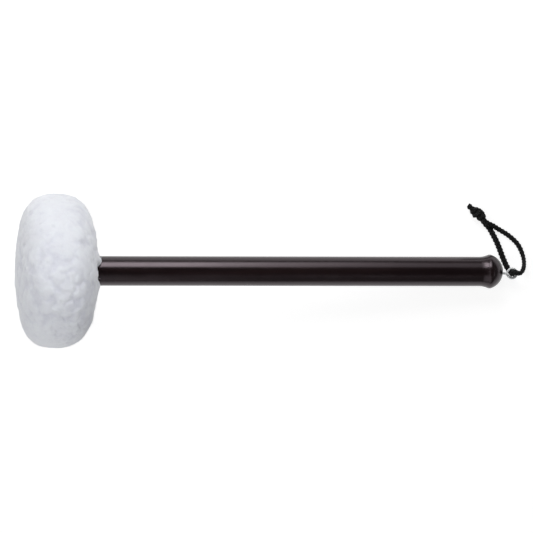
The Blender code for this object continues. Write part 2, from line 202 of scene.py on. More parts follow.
def fade(values, start, end):
    t = np.clip((values - start) / (end - start), 0, 1)
    return t * t * (3 - 2 * t)


def smoothRoute(points, spacing, finePoints=24):
    # evenly spaced points on a centripetal curve through the route's points
    route = np.array(points, float)
    route = np.vstack([2 * route[0] - route[1], route, 2 * route[-1] - route[-2]])
    fine = []
    for a, b, c, d in zip(route, route[1:], route[2:], route[3:]):
        t1 = np.linalg.norm(b - a) ** 0.5
        t2 = t1 + np.linalg.norm(c - b) ** 0.5
        t3 = t2 + np.linalg.norm(d - c) ** 0.5
        for t in np.linspace(t1, t2, finePoints, endpoint=False):
            ab = a + (b - a) * (t / t1)
            bc = b + (c - b) * ((t - t1) / (t2 - t1))
            cd = c + (d - c) * ((t - t2) / (t3 - t2))
            abc = ab + (bc - ab) * (t / t2)
            bcd = bc + (cd - bc) * ((t - t1) / (t3 - t1))
            fine.append(abc + (bcd - abc) * ((t - t1) / (t2 - t1)))
    fine.append(route[-2])
    return evenSpacing(np.array(fine), spacing)


def evenSpacing(path, spacing):
    along = lengthAlong(path)
    count = max(2, round(along[-1] / spacing))
    places = np.linspace(0, along[-1], count + 1)
    return np.stack([np.interp(places, along, path[:, k]) for k in range(3)], axis=1)


def lengthAlong(path):
    steps = np.linalg.norm(np.diff(path, axis=0), axis=1)
    return np.concatenate([[0], np.cumsum(steps)])


def carryFrames(path, firstSide):
    # two directions square to the path, carried along it without twist
    tangents = np.gradient(path, axis=0)
    tangents /= np.linalg.norm(tangents, axis=1)[:, None]
    side = np.array(firstSide, float)
    sides = []
    for tangent in tangents:
        side = side - tangent * (side @ tangent)
        side /= np.linalg.norm(side)
        sides.append(side)
    sides = np.array(sides)
    return sides, np.cross(tangents, sides)


def tubeFaces(rings, count, first):
    # the faces between a tube's rings of count points, whose numbers begin at first
    faces = []
    for i, j in itertools.product(range(rings - 1), range(count)):
        a, b = first + i * count + j, first + i * count + (j + 1) % count
        faces.append((a, b, b + count, a + count))
    return faces


def sweepTube(name, path, radii, sides, others):
    # radii has a row for each point of the path and a column for each side of the tube
    rings, count = radii.shape
    angles = np.arange(count)[:, None] / count * math.tau
    outward = np.cos(angles) * sides[:, None] + np.sin(angles) * others[:, None]
    points = path[:, None] + outward * radii[:, :, None]
    points = points.reshape(-1, 3).tolist() + [path[0].tolist(), path[-1].tolist()]
    faces = tubeFaces(rings, count, 0)
    middle, last = rings * count, (rings - 1) * count
    for j in range(count):
        k = (j + 1) % count
        faces += [(middle, k, j), (middle + 1, last + j, last + k)]
    return newMesh(name, points, faces)


# Small tools for materials
def newMaterial(name, makeLook, *tints):
    # makeLook adds the nodes and gives back what goes into the shader's sockets
    material = bpy.data.materials.new(name)
    material.use_nodes = True
    look = makeLook(material.node_tree, *tints)
    setSockets(material.node_tree.nodes["Principled BSDF"], look)
    return material


def setSockets(node, values):
    # another node's output is linked, and anything else is set on the socket itself
    for name, value in values.items():
        if isinstance(value, bpy.types.NodeSocket):
            node.id_data.links.new(value, node.inputs[name])
        else:
            node.inputs[name].default_value = value


def addNode(tree, kind, **settings):
    node = tree.nodes.new(kind)
    for name, value in settings.items():
        setattr(node, name, value)
    return node


def addNoise(tree, vector, scale, detail=3.0, roughness=0.55, distortion=0.0):
    node = addNode(tree, "ShaderNodeTexNoise")
    setSockets(node, {"Vector": vector, "Scale": scale, "Detail": detail})
    setSockets(node, {"Roughness": roughness, "Distortion": distortion})
    return node.outputs["Fac"]


def addScaling(tree, vector, scale):
    node = addNode(tree, "ShaderNodeMapping")
    setSockets(node, {"Vector": vector, "Scale": scale})
    return node.outputs["Vector"]


def addMath(tree, operation, *values, clamp=False):
    node = addNode(tree, "ShaderNodeMath", operation=operation, use_clamp=clamp)
    setSockets(node, dict(enumerate(values)))
    return node.outputs[0]


def addRange(tree, value, fromLow, fromHigh, toLow=0.0, toHigh=1.0):
    node = addNode(tree, "ShaderNodeMapRange", interpolation_type="SMOOTHSTEP")
    ends = {"From Min": fromLow, "From Max": fromHigh, "To Min": toLow, "To Max": toHigh}
    setSockets(node, {"Value": value, **ends})
    return node.outputs["Result"]


def addMix(tree, factor, first, second):
    # in a colour mix, sockets 6 and 7 are the two colours and output 2 is the result
    node = addNode(tree, "ShaderNodeMix", data_type="RGBA")
    colours = [(*colour, 1) if isinstance(colour, tuple) else colour for colour in (first, second)]
    setSockets(node, {0: factor, 6: colours[0], 7: colours[1]})
    return node.outputs[2]


def addBump(tree, height, distance, strength):
    node = addNode(tree, "ShaderNodeBump")
    setSockets(node, {"Height": height, "Distance": distance, "Strength": strength})
    return node.outputs["Normal"]


def objectPlace(tree):
    return addNode(tree, "ShaderNodeTexCoord").outputs["Object"]


def malletPlace(tree):
    # object coordinates turned so that Z runs along the mallet's axis
    node = addNode(tree, "ShaderNodeVectorRotate", rotation_type="Y_AXIS", invert=True)
    turn = {"Center": headCentre, "Angle": math.pi / 2 + malletTilt}
    setSockets(node, {"Vector": objectPlace(tree), **turn})
    return node.outputs["Vector"]


def makeGroup(name, layers):
    group = bpy.data.node_groups.new(name, "ShaderNodeTree")
    group.interface.new_socket(name="Place", in_out="INPUT", socket_type="NodeSocketVector")
    for label in layers:
        for socket, side in ((f"{label} Scale", "INPUT"), (label, "OUTPUT")):
            group.interface.new_socket(name=socket, in_out=side, socket_type="NodeSocketFloat")
    source = group.nodes.new("NodeGroupInput").outputs
    target = group.nodes.new("NodeGroupOutput")
    for label, (stretches, noise, levels) in layers.items():
        highest = None
        for stretch in stretches:
            drawn = addScaling(group, source["Place"], stretch)
            layer = addNoise(group, drawn, source[f"{label} Scale"], *noise)
            highest = layer if highest is None else addMath(group, "MAXIMUM", highest, layer)
        setSockets(target, {label: addRange(group, highest, *levels)})
    return group


def useGroup(tree, group, place, values):
    node = addNode(tree, "ShaderNodeGroup", node_tree=group)
    setSockets(node, {"Place": place, **values})
    return node.outputs


# Patterns for the materials. Each layer is noise that every stretch draws out its own way; then
# come its detail, roughness and distortion, and the levels between which the pattern fades in.
patterns = {
    "mattedFibres": {
        "Patch": (((1, 1, 1),), (4.0, 0.6), (0.3, 0.7)),
        "Fibre": (((1, 0.28, 0.5), (0.3, 1, 0.45), (0.5, 0.4, 1)), (2.0, 0.5, 1.4), (0.42, 0.72)),
    },
    "handledMetal": {
        "Cloud": (((1, 1, 1),), (4.0, 0.6), (0.3, 0.7)),
        "Scratch": (((1, 0.03, 0.1), (0.04, 1, 0.08)), (1.0, 0.4), (0.62, 0.72)),
    },
    "straightGrain": {
        "Band": (((1, 1, 0.035),), (5.0, 0.62, 0.4), (0.34, 0.68)),
        "Pore": (((1, 1, 0.05),), (2.0, 0.5), (0.56, 0.74)),
    },
}
fibreGroup, handlingGroup, grainGroup = (makeGroup(*pattern) for pattern in patterns.items())


# Handle: turned shaft with a flared and domed butt, in very dark brown gloss lacquer
handleShape = {
    "steps": 128,
    "domeSteps": 22,
    "curveSteps": 14,
    "shaftRings": 12,
    "crestToTip": 0.0101,
    "crestRadius": 0.0128,
    "filletRadius": 0.004,
    "coveRadius": 0.017,
    "shoulderStation": 0.0113,
    "tenonRadius": 0.0075,
    "tenonEnd": -0.003,
    "tenonChamfer": 0.0008,
    "pilotRadius": 0.0032,
    "pilotEnd": 0.03,
    "eyeBoreRadius": 0.0015,
    "eyeBoreDepth": 0.013,
    "eyeBoreSides": 32,
    "sharpAngle": 30,
    "darkBrown": (0.0062, 0.0031, 0.0035),
    "warmBrown": (0.0112, 0.0058, 0.0062),
    "bandScale": 330.0,
    "poreScale": 2600.0,
    "roughness": (0.19, 0.24),
    "cloudScale": 60.0,
    "cloudLevels": (0.3, 0.7),
    "peelScale": 420.0,
    "poreLift": -0.5,
    "relief": (0.00003, 0.3),
    "specularTint": (1.0, 0.84, 0.92, 1),
}


def handleOutline():
    shape = handleShape
    crest = tipStation - shape["crestToTip"]
    filletOut = shape["crestRadius"] - shape["filletRadius"]
    inward = shape["crestToTip"] - shape["filletRadius"]
    dome = (shape["crestToTip"] ** 2 + filletOut**2 - shape["filletRadius"] ** 2) / (2 * inward)
    domeAngle = math.atan2(filletOut, dome - shape["crestToTip"])
    coveOut = mallet["handleRadius"] + shape["coveRadius"]
    reach = shape["coveRadius"] + shape["filletRadius"]
    coveBack = math.sqrt(reach**2 - (coveOut - filletOut) ** 2)
    coveAngle = math.atan2(coveOut - filletOut, -coveBack)
    steps = shape["curveSteps"]
    outline = arcPoints(tipStation - dome, 0, dome, 0, domeAngle, shape["domeSteps"])
    outline += arcPoints(crest, filletOut, shape["filletRadius"], domeAngle, coveAngle, steps)[1:]
    cove = (crest - coveBack, coveOut, shape["coveRadius"], coveAngle - math.pi, -math.pi / 2, steps)
    outline += arcPoints(*cove)[1:]
    shaftEnd = outline[-1][0]
    for i in range(1, shape["shaftRings"] + 1):  # rings along the shaft keep the long faces short
        station = shaftEnd + (shape["shoulderStation"] - shaftEnd) * i / shape["shaftRings"]
        outline.append((station, mallet["handleRadius"]))
    return outline + [
        (shape["shoulderStation"], shape["tenonRadius"]),
        (shape["tenonEnd"] + shape["tenonChamfer"], shape["tenonRadius"]),
        (shape["tenonEnd"], shape["tenonRadius"] - shape["tenonChamfer"]),
        (shape["tenonEnd"], shape["pilotRadius"]),
        (shape["pilotEnd"], shape["pilotRadius"]),
        (shape["pilotEnd"] + shape["pilotRadius"], 0),
    ]


def makeHandle():
    shape = handleShape
    handle = spinProfile("handleTurned", handleOutline(), shape["steps"])
    depth = shape["eyeBoreDepth"] + shape["crestToTip"]
    deselectAll()
    bpy.ops.mesh.primitive_cylinder_add(
        vertices=shape["eyeBoreSides"],
        radius=shape["eyeBoreRadius"],
        depth=depth,
        location=(0, mallet["eyeOffset"], tipStation + shape["crestToTip"] - depth / 2),
    )
    bore = bpy.context.object
    applyModifier(handle, "BOOLEAN", operation="DIFFERENCE", object=bore, solver="EXACT")
    bpy.data.objects.remove(bore)
    smoothByAngle(handle, shape["sharpAngle"])
    return layDown(handle)


def lacquerLook(tree):
    shape = handleShape
    place = malletPlace(tree)
    scales = {"Band Scale": shape["bandScale"], "Pore Scale": shape["poreScale"]}
    grain = useGroup(tree, grainGroup, place, scales)
    clouds = addNoise(tree, place, shape["cloudScale"])
    peel = addNoise(tree, place, shape["peelScale"], detail=2.0)
    relief = addMath(tree, "MULTIPLY_ADD", grain["Pore"], shape["poreLift"], peel)
    return {
        "Base Color": addMix(tree, grain["Band"], shape["darkBrown"], shape["warmBrown"]),
        "Roughness": addRange(tree, clouds, *shape["cloudLevels"], *shape["roughness"]),
        "Normal": addBump(tree, relief, *shape["relief"]),
        "IOR": 1.52,
        "Specular Tint": shape["specularTint"],
    }


lacquer = newMaterial("brownLacquer", lacquerLook)
finishPiece(makeHandle(), lacquer, "lacquered_wood", "mallet", "handle")


# Screw eye: zinc plated wire bent to a ring, with its thread in the butt
eyeShape = {
    "wireRadius": 0.00088,
    "ringRadius": 0.0036,
    "reach": 0.0072,
    "bendBeforeRing": 0.0056,
    "joinAngle": math.radians(215),
    "endAngle": math.radians(532),
    "threadLength": 0.012,
    "threadRoot": 0.00092,
    "threadCrest": 0.0012,
    "threadPitch": 0.0009,
    "pointLength": 0.003,
    "pointBluntness": 0.08,
    "ridgePower": 1.5,
    # how long the cut end's rounding is, the end's least share of the thickness, and its power
    "cutEnd": (0.0003, 0.3, 0.25),
    "sides": 28,
    "spacing": 0.00012,
    "bendSteps": 40,
    "ringSteps": 160,
    "sharpAngle": 50,
    "tint": (0.93, 0.95, 0.96),
    "dulling": 0.72,
    "roughness": (0.58, 0.70),
    "metallic": 0.7,
}


def eyePath():
    shape = eyeShape
    bend = shape["reach"] - shape["bendBeforeRing"]
    joinAcross = shape["ringRadius"] * math.sin(shape["joinAngle"])
    joinAlong = shape["reach"] + shape["ringRadius"] * math.cos(shape["joinAngle"])
    heading = shape["joinAngle"] + math.pi / 2
    ease = (joinAlong - bend) / 2
    corners = np.array(
        [
            (0, bend),
            (0, bend + ease),
            (joinAcross - ease * math.sin(heading), joinAlong - ease * math.cos(heading)),
            (joinAcross, joinAlong),
        ]
    )
    t = np.linspace(0, 1, shape["bendSteps"], endpoint=False)[:, None]
    weights = np.hstack([(1 - t) ** 3, 3 * t * (1 - t) ** 2, 3 * t**2 * (1 - t), t**3])
    straight = np.array([(0, -shape["threadLength"]), (0, 0)])
    angles = np.linspace(shape["joinAngle"], shape["endAngle"], shape["ringSteps"])
    ring = shape["ringRadius"] * np.stack([np.sin(angles), np.cos(angles)], axis=1)
    ring[:, 1] += shape["reach"]
    flat = np.vstack([straight, weights @ corners, ring])
    path = np.zeros((len(flat), 3))
    path[:, 1] = mallet["eyeOffset"] + flat[:, 0]
    path[:, 2] = tipStation + flat[:, 1]
    return evenSpacing(path, shape["spacing"])


def makeScrewEye():
    shape = eyeShape
    path = eyePath()
    along = lengthAlong(path)[:, None]
    angles = (np.arange(shape["sides"]) / shape["sides"])[None, :]
    ridge = np.abs((along / shape["threadPitch"] + angles) % 1 - 0.5) * 2
    ridge = (shape["threadCrest"] - shape["threadRoot"]) * ridge ** shape["ridgePower"]
    thread = shape["threadRoot"] + ridge
    taper = np.clip(along / shape["pointLength"], shape["pointBluntness"], 1)
    runOut = np.clip((shape["threadLength"] - along) / (2 * shape["threadPitch"]), 0, 1)
    radii = shape["wireRadius"] + (thread * taper - shape["wireRadius"]) * runOut
    rounding, least, power = shape["cutEnd"]
    radii *= np.clip((along[-1] - along) / rounding, least, 1) ** power
    eye = sweepTube("screwEyeWire", path, radii, *carryFrames(path, (1, 0, 0)))
    smoothByAngle(eye, shape["sharpAngle"])
    return layDown(eye)


def zincLook(tree):
    shape = eyeShape
    scales = {"Cloud Scale": 420.0, "Scratch Scale": 2200.0}
    worn = useGroup(tree, handlingGroup, objectPlace(tree), scales)
    dull = tuple(value * shape["dulling"] for value in shape["tint"])
    return {
        "Base Color": addMix(tree, worn["Cloud"], shape["tint"], dull),
        "Roughness": addRange(tree, worn["Cloud"], 0.0, 1.0, *shape["roughness"]),
        "Normal": addBump(tree, worn["Scratch"], distance=0.00001, strength=0.4),
        "Metallic": shape["metallic"],
    }


zinc = newMaterial("brightZinc", zincLook)
finishPiece(makeScrewEye(), zinc, "zinc_steel", "mallet", "screw_eye")


# Lanyard: round black braid, in a loop through the eye and knotted beside the butt
cordShape = {
    "radius": 0.00165,
    "floorLift": 0.0001,
    "strandsEachWay": 4,
    "braidLay": 0.0112,
    "crownDepth": 0.00070,
    "crownLift": 0.00028,
    "crownEnds": 0.45,
    "sides": 48,
    "spacing": 0.0002,
    # millimetres past the eye, and how thick the cord is there, as a share of its usual size
    "swell": (
        (-8, 1.22), (-4.5, 1.13), (-2, 0.98), (0, 1.0), (1.2, 1.42), (2.2, 1.62), (3.2, 1.55),
        (4.4, 1.35), (5.7, 1.12), (7.2, 1.0), (9, 0.95), (12, 0.97), (19, 0.9), (26, 0.92),
        (34, 1.05),
    ),
    "swellSmoothing": 9,
    # how far its bend leans over the eye's ring, and where and along how many millimetres
    "lean": ((-0.0006, -0.0001, 0), 2.2, 1.6),
    "strandShift": 1.37,  # keeps one strand's threads from matching its neighbour's
    "threadStretch": (11, 0.9, 1),
    # the dark colour is the braid's own; the light one is painted highlight on the strands' crowns,
    # which leaves painted shade in the grooves between them
    "darkThread": (0.0010, 0.0010, 0.0011),
    "litCrownThread": (0.0060, 0.0062, 0.0066),
    "roughness": (0.72, 0.5),
    "relief": (0.00006, 0.8),
}
cordFloor = cordShape["radius"] + cordShape["floorLift"]
cordSpacing = 2 * cordShape["radius"]

# From the knot's lower side, through the eye and back to its upper side. x and y are from the
# middle of the eye, z is from the table.
lanyardRoute = [
    (-0.0170, 0.0345, cordFloor), (-0.0141, 0.0295, cordFloor), (-0.0114, 0.0242, cordFloor),
    (-0.0096, 0.0199, cordFloor), (-0.0079, 0.0154, 0.0020), (-0.0060, 0.0104, 0.0030),
    (-0.0039, 0.0055, 0.0046), (-0.0016, 0.0018, 0.0069), (-0.0002, 0.0001, 0.0104),
    (0.0007, 0.0005, 0.0130), (0.0026, 0.0008, 0.0148), (0.0048, -0.0001, 0.0151),
    (0.0069, 0.0010, 0.0140), (0.0084, 0.0035, 0.0117), (0.0091, 0.0064, 0.0086),
    (0.0092, 0.0094, 0.0056), (0.0088, 0.0124, 0.0034), (0.0079, 0.0155, 0.0021),
    (0.0063, 0.0193, cordFloor), (0.0041, 0.0228, cordFloor), (0.0013, 0.0257, cordFloor),
    (-0.0017, 0.02825, cordFloor), (-0.0049, 0.0305, cordFloor), (-0.0081, 0.0324, cordFloor),
    (-0.0113, 0.0343, 0.0024), (-0.0142, 0.0361, 0.0039),
]

knotShape = {
    "place": (-0.0252, 0.0446),
    "heading": math.radians(138.8),
    "wraps": 2,
    "turnGap": 0.00065,
    "wrapRadius": 0.0021,
    "coreOverhang": 0.00015,
    "upperTail": 0.0048,
    "lowerTail": 0.0042,
    "tuckTurns": 0.40,
    "tuckShift": 0.0002,
    "tuckDive": 0.75,
    "tuckPower": 1.5,
    "wrapSteps": 400,
    "wrapSwell": 1.12,
    "wrapSquareness": 2.8,
    "wrapSpread": 1.04,
    "wrapShift": 0.0005,
    # by what share the turns are drawn in, how many turns from their middle, and how widely
    "wrapPinch": (0.22, 0.78, 0.25),
    "strandSteps": 60,
    "strandSwell": 1.12,
    "strandPinch": 0.5,
    "strandGrip": (2.2, 1.2),  # makes the pinch 0 in the middle half and 1 at both ends
    "strandAside": (-0.2, 1),  # where it comes from beside the knot's axis to the axis
    # half length, side, height, and how far the ends dive to the middle and down
    "bight": (0.0034, -0.0025, 0.0009, -0.0017, 0.0015),
    "bightSteps": 80,
    "bightSwell": 1.08,
    "bightShift": 0.000083,
    # how far past the knot the legs' first and second points are, and how far the lower and
    # the upper leg stand aside at each
    "legReaches": (-0.0005, 0.0036),
    "legSides": ((0.0010, 0.0006), (0.0018, 0.0004)),
    "tailSwell": 1.14,
    "tailSlant": 0.14,
    "tailCut": (0.0004, 0.86, 0.3),  # its rounding's length, the end's share, and the power
    "tailBraidStart": 0.004,
}
knotPitch = cordSpacing + knotShape["turnGap"]
knotHalf = knotShape["wraps"] * knotPitch / 2 + cordShape["radius"] + knotShape["coreOverhang"]
knotHeight = knotShape["wrapRadius"] + cordShape["radius"] + cordShape["floorLift"]
knotAxis = np.array([math.cos(knotShape["heading"]), math.sin(knotShape["heading"]), 0])
knotSide = np.array([-knotAxis[1], knotAxis[0], 0])
knotPlace = np.array([*(eyePlace.xy + Vector(knotShape["place"])), knotHeight])
stackLift = cordShape["radius"] + mallet["gap"] / 2


def knotPoints(stations, sides, heights):
    # places along the knot, across it and above its middle
    points = knotPlace + np.multiply.outer(stations, knotAxis)
    return points + np.multiply.outer(sides, knotSide) + np.multiply.outer(heights, (0, 0, 1))


def lanyardPath():
    # the legs leave the knot one over the other, and already lean apart
    stations = -(knotHalf + np.array(knotShape["legReaches"]))
    lower, upper = np.transpose(knotShape["legSides"])
    start = knotPoints(stations, lower, -stackLift)
    end = knotPoints(stations, upper, stackLift)[::-1]
    route = np.array(lanyardRoute) + (eyePlace.x, eyePlace.y, 0)
    return smoothRoute(np.vstack([start, route, end]), cordShape["spacing"])


def braidCells(along, turn):
    # how many strands lie before this place, counted across each of the braid's two directions
    count = cordShape["strandsEachWay"]
    right = (along / cordShape["braidLay"] + turn) * count
    left = (along / cordShape["braidLay"] - turn) * count
    return right, left


def crownHeight(right, left):
    over = (np.floor(right) + np.floor(left)) % 2 == 0
    across = np.where(over, left, right) % 1
    onward = np.where(over, right, left) % 1
    domed = np.sqrt(np.clip(1 - (2 * across - 1) ** 2, 0, 1))
    ends = cordShape["crownEnds"]
    return domed * (ends + (1 - ends) * np.sin(math.pi * onward))


def braidedCord(name, path, startAlong, swell, sides, others, squareness=2, spread=1):
    # its section is round at squareness 2, and spread makes it wider along the first side
    shape = cordShape
    along = startAlong + lengthAlong(path)
    turns = np.arange(shape["sides"]) / shape["sides"]
    crown = crownHeight(*braidCells(along[:, None], turns[None, :]))
    if np.isscalar(swell):
        swell = np.full(len(path), swell)
    radii = (shape["radius"] + shape["crownLift"] - shape["crownDepth"] * (1 - crown)) * swell[:, None]
    flanks = np.abs(np.cos(turns * math.tau) / spread) ** squareness
    flanks += np.abs(np.sin(turns * math.tau)) ** squareness
    radii /= flanks ** (1 / squareness)
    cord = sweepTube(name, path, radii, sides, others)
    for vertex in cord.data.vertices:  # the cord is flattened where it lies on the table
        vertex.co.z = max(vertex.co.z, shape["floorLift"])
    writePointValues(cord, "crown", np.append(crown, [0.5, 0.5]))
    mapStrands(cord, along, len(path))
    smoothFaces(cord)
    return cord


def mapStrands(cord, along, rings):
    # each strand's crown is mapped by itself, V along its filaments and U across them
    count = cordShape["sides"]
    uv = cord.data.uv_layers.new(name="strands")
    flat = np.zeros((len(cord.data.loops), 2), np.float32)
    row, column = np.divmod(np.arange((rings - 1) * count), count)
    middle = braidCells((along[row] + along[row + 1]) / 2, (column + 0.5) / count)
    cell = [np.floor(part) for part in middle]
    over = (cell[0] + cell[1]) % 2 == 0
    for corner, (up, out) in enumerate(((0, 0), (0, 1), (1, 1), (1, 0))):
        right, left = braidCells(along[row + up], (column + out) / count)
        corners = slice(corner, (rings - 1) * count * 4, 4)
        across = np.where(over, left - cell[1], right - cell[0])
        flat[corners, 0] = across + cell[0] * cordShape["strandShift"]
        flat[corners, 1] = np.where(over, right, left)
    uv.data.foreach_set("uv", flat.ravel())


def braidLook(tree):
    shape = cordShape
    strands = addNode(tree, "ShaderNodeUVMap", uv_map="strands").outputs["UV"]
    drawn = addScaling(tree, strands, shape["threadStretch"])
    threads = addNoise(tree, drawn, scale=1.0, detail=2.0, roughness=0.5, distortion=0.3)
    threads = addRange(tree, threads, fromLow=0.35, fromHigh=0.65)
    crown = addNode(tree, "ShaderNodeAttribute", attribute_name="crown").outputs["Fac"]
    crown = addRange(tree, crown, fromLow=0.3, fromHigh=0.95)
    # painted highlight on light threads along the strands' crowns, painted shade in the grooves; the
    # threads' own light and dark is random
    lit = addMath(tree, "MULTIPLY", threads, crown, clamp=True)
    return {
        "Base Color": addMix(tree, lit, shape["darkThread"], shape["litCrownThread"]),
        "Roughness": addRange(tree, threads, 0.0, 1.0, *shape["roughness"]),
        "Normal": addBump(tree, threads, *shape["relief"]),
        "Sheen Weight": 0.04,
        "Sheen Roughness": 0.4,
        "Specular IOR Level": 0.2,
    }


braid = newMaterial("blackBraid", braidLook)


def makeLegs():
    shape = cordShape
    path = lanyardPath()
    ringCentre = np.array(malletToWorld @ Vector((0, mallet["eyeOffset"], mallet["eyeStation"])))
    middle = int(np.linalg.norm(path - ringCentre, axis=1).argmin())
    along = lengthAlong(path)
    past = (along - along[middle]) * 1000  # in millimetres
    lean, leanPlace, leanLength = shape["lean"]
    path += np.outer(np.exp(-(((past - leanPlace) / leanLength) ** 2)), lean)
    sides, others = carryFrames(path, knotSide)
    swell = np.interp(past, *np.transpose(shape["swell"]))
    spread = np.hanning(shape["swellSmoothing"])
    swell = np.pad(swell, shape["swellSmoothing"] // 2, mode="edge")
    swell = np.convolve(swell, spread / spread.sum(), mode="valid")
    legs = []
    for name, part in (("lanyardEyeLeg", slice(0, middle + 1)), ("lanyardFarLeg", slice(middle, None))):
        start = along[part][0]
        legs.append(braidedCord(name, path[part], start, swell[part], sides[part], others[part]))
    return legs, (path[: middle + 1], path[middle:])


def knotCord(name, path, swell, firstSide=knotSide, **section):
    path = evenSpacing(path, cordShape["spacing"])
    return braidedCord(name, path, 0.0, swell, *carryFrames(path, firstSide), **section)


def makeKnotWrap():
    # two turns round the doubled cord, whose ends dive back in between the legs
    shape = knotShape
    half = shape["wraps"] / 2
    turns = half + shape["tuckTurns"]
    t = np.linspace(-turns, turns, shape["wrapSteps"])
    past = np.clip(np.abs(t) - half, 0, None) / shape["tuckTurns"]
    station = np.clip(t, -half, half) * knotPitch + np.sign(t) * past * shape["tuckShift"]
    radius = shape["wrapRadius"] * (1 - shape["tuckDive"] * past ** shape["tuckPower"])
    pinch, pinchPlace, pinchWidth = shape["wrapPinch"]
    radius *= 1 - pinch * np.exp(-(((np.abs(t) - pinchPlace) / pinchWidth) ** 2))
    angle = math.tau * t
    path = knotPoints(station + shape["wrapShift"], radius * np.sin(angle), radius * np.cos(angle))
    section = {"squareness": shape["wrapSquareness"], "spread": shape["wrapSpread"]}
    return knotCord("knotWrap", path, shape["wrapSwell"], knotAxis, **section)


def makeKnotStrand(name, lift, legSide):
    # the part of a leg inside the knot, pinched by the turns
    shape = knotShape
    t = np.linspace(-1, 1, shape["strandSteps"])
    slope, start = shape["strandGrip"]
    ends = np.clip(np.abs(t) * slope - start, 0, 1)
    pinch = shape["strandPinch"] + (1 - shape["strandPinch"]) * ends
    aside = legSide * fade(-t, *shape["strandAside"])
    path = knotPoints(t * (knotHalf + mallet["gap"]), aside, lift * pinch)
    return knotCord(name, path, shape["strandSwell"])


def makeKnotBight():
    # the strand that runs lengthwise over the turns and dives under the last of them
    shape = knotShape
    t = np.linspace(-1, 1, shape["bightSteps"])
    reach, side, height, dive, sink = shape["bight"]
    bend = np.abs(t) ** 3
    path = knotPoints(t * reach + shape["bightShift"], side - dive * bend, height - sink * bend)
    return knotCord("knotBight", path, shape["bightSwell"])


def makeTail(name, lift, length):
    # cut a little aslant
    shape = knotShape
    start = knotHalf + mallet["gap"]
    path = evenSpacing(knotPoints([start, start + length], 0, lift), cordShape["spacing"])
    rounding, endShare, power = shape["tailCut"]
    rounded = np.clip((length - lengthAlong(path)) / rounding, 0, 1) ** power
    swell = shape["tailSwell"] * (rounded * (1 - endShare) + endShare)
    tail = braidedCord(name, path, shape["tailBraidStart"], swell, *carryFrames(path, knotSide))
    for vertex in tail.data.vertices:
        offset = np.array(vertex.co) - knotPlace
        aslant = shape["tailSlant"] * (offset @ knotSide + cordShape["radius"])
        vertex.co -= Vector(knotAxis * aslant * fade(offset @ knotAxis, start, start + length))
    return tail


def makeLanyard():
    legs, paths = makeLegs()
    lowerSide, upperSide = knotShape["legSides"][0]
    knotPieces = [
        makeKnotWrap(),
        makeKnotBight(),
        makeKnotStrand("knotStrandUpper", stackLift, upperSide),
        makeKnotStrand("knotStrandLower", -stackLift, lowerSide),
    ]
    tails = [
        makeTail("tailUpper", stackLift, knotShape["upperTail"]),
        makeTail("tailLower", -stackLift, knotShape["lowerTail"]),
    ]
    nodes = ["lanyard_loop"] * 2 + ["lanyard_knot"] * 4 + ["lanyard_tail_upper", "lanyard_tail_lower"]
    for piece, node in zip(legs + knotPieces + tails, nodes):
        finishPiece(piece, braid, "cord", "lanyard", node)


makeLanyard()
print("lanyard laid")


# Head: deep pile fleece drawn round the batting and gathered at the handle
fleeceShape = {
    "thickness": 0.010,
    "lipRadius": 0.0028,
    "lipHeight": 0.0006,
    "lipSetback": 0.0026,
    "groove": (0.0230, 0.0302, 0.0015),  # where it starts and ends, and its depth
    "lipSteps": 16,
    "outerSteps": 60,
    "innerSteps": 40,
    "spinSteps": 128,
    "halvings": 50,
    "voxel": 0.00072,
    "leastSkin": 0.01,
    # spans over which the relief comes in or dies away: the skin's in shares of the section
    "spans": {
        "skin": (0.70, 0.88),
        "lip": (0.0117, 0.0138),
        "neckRadius": (0.029, 0.015),
        "neckStation": (0.008, 0.022),
        "plusEnd": (0.006, 0.030),
        "minusEnd": (0.036, 0.050),
        "combedStation": (0.018, 0.004),
        "face": (0.022, 0.029),
    },
    # salt, cell size, least and added sharpness, and the size, reach and salt of their shift
    "tufts": (23, 0.0102, 9, 14, (0.010, 0.0026, 11)),
    "locks": (37, 0.0052, 10, 10, (0.0055, 0.0012, 31)),
    # cell size, sharpness where there is one, and salt
    "curls": (0.0026, 5, 43),
    "unevenness": 0.3,
    "patches": (0.017, 5),
    "patchFade": (-0.5, 0.5),
    "lumps": (0.024, 61),
    "fuzz": (0.0013, 67),
    "tuftDepth": 0.0013,
    "lockDepth": 0.0012,
    "curlDepth": 0.00042,
    "lumpDepth": 0.0006,
    "fuzzDepth": 0.00008,
    "faceInset": 0.0009,
    "combed": 0.65,  # how much flatter the pile lies at the +Y and -Y ends
    "neckCalm": (0.45, 0.5),  # and its tufts, and its locks and curls, at the neck
    # painted shade: a value for each point of the pile, low in the creases between tufts, locks, curls
    # and neck folds, where the pile is painted darker
    "reliefShading": (0.62, 1.1, 0.7, 0.35, 90),  # base, and what tufts, locks, curls and folds add
    "foldWander": (0.013, 51, 0.05),
    "foldRoundness": 0.7,
    # crease angle in degrees, and height of the bulge from it to the next crease
    "neckFolds": (
        (-150, 0.0010), (-86, 0.0018), (-19, -0.0011), (12, 0.0022),
        (47, -0.0006), (92, 0.0010), (134, 0.0016), (172, 0.0006),
    ),
    "neckDepth": 0.0022,
    # crown colours for the raised pile, and darker crease colours that are painted shade in its hollows
    "crowns": ((0.775, 0.79, 0.845), (0.805, 0.83, 0.875)),
    "creases": ((0.69, 0.705, 0.775), (0.73, 0.745, 0.81)),
    "fibreTips": (0.93, 0.94, 0.97),
    "tipShare": 0.16,
    "relief": (0.0003, 0.3),
}


def headPoint(angle, inset):
    squareness = mallet["headSquareness"]
    power = 2 / squareness
    halfDepth, radius = mallet["headHalfDepth"], mallet["headRadius"]
    along = math.copysign(abs(math.cos(angle)) ** power, math.cos(angle)) * halfDepth
    out = math.sin(angle) ** power * radius
    slopeAlong = (abs(along) / halfDepth) ** (squareness - 1) / halfDepth
    slopeOut = (out / radius) ** (squareness - 1) / radius
    size = math.hypot(slopeAlong, slopeOut)
    along -= math.copysign(inset * slopeAlong / size, along)
    return along, max(0.0, out - inset * slopeOut / size)


